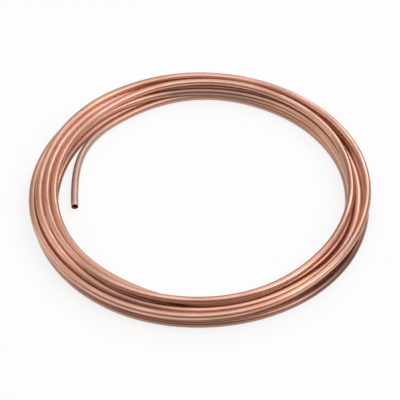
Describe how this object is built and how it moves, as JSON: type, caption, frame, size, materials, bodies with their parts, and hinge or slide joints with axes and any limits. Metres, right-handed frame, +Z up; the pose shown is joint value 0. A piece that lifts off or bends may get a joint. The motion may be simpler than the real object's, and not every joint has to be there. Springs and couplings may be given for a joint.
{
  "type": "copper tube coil",
  "caption": "Loose flat coil of soft annealed copper water tube, lying on its side with its inner end bent off the turns and open.",
  "frame": {"origin": "middle of the coil, on the floor that it lies on", "axes": "+Z up along the coil's axis, -Y to the front, the way the free inner end points, and the free end on the -X side"},
  "size_m": [0.364, 0.364, 0.0236],
  "materials": {
    "copper": "bright drawn and annealed copper, lightly tarnished"
  },
  "bodies": {
    "root": {"copper_tube": "copper"}
  },
  "joints": []
}
